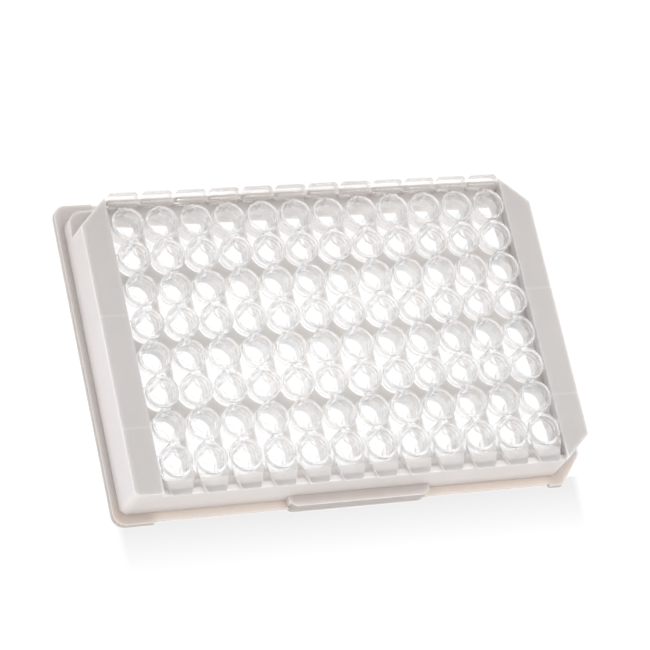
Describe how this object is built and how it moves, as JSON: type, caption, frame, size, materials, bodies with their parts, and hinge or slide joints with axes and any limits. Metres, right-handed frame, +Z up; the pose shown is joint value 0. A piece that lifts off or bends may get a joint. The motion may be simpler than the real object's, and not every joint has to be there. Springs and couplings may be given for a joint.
{
  "type": "well plate",
  "caption": "Flat laboratory well plate: a milky moulded frame with corner cuts holds clear strips of round flat-bottomed wells, with a tab at each end of a strip.",
  "frame": {"origin": "middle of the footprint, on the surface that the plate stands on", "axes": "+Z up out of the wells, +X along the long side towards strip_12, +Y from row H at the front to row A at the rear"},
  "size_m": [0.1278, 0.0854, 0.0148],
  "materials": {
    "milky_frame": "milky translucent polypropylene, satin",
    "clear_strip": "clear glossy polystyrene"
  },
  "bodies": {
    "root": {"frame": "milky_frame", "strip_1": "clear_strip", "strip_2": "clear_strip", "strip_3": "clear_strip", "strip_4": "clear_strip", "strip_5": "clear_strip", "strip_6": "clear_strip", "strip_7": "clear_strip", "strip_8": "clear_strip", "strip_9": "clear_strip", "strip_10": "clear_strip", "strip_11": "clear_strip", "strip_12": "clear_strip"}
  },
  "joints": []
}
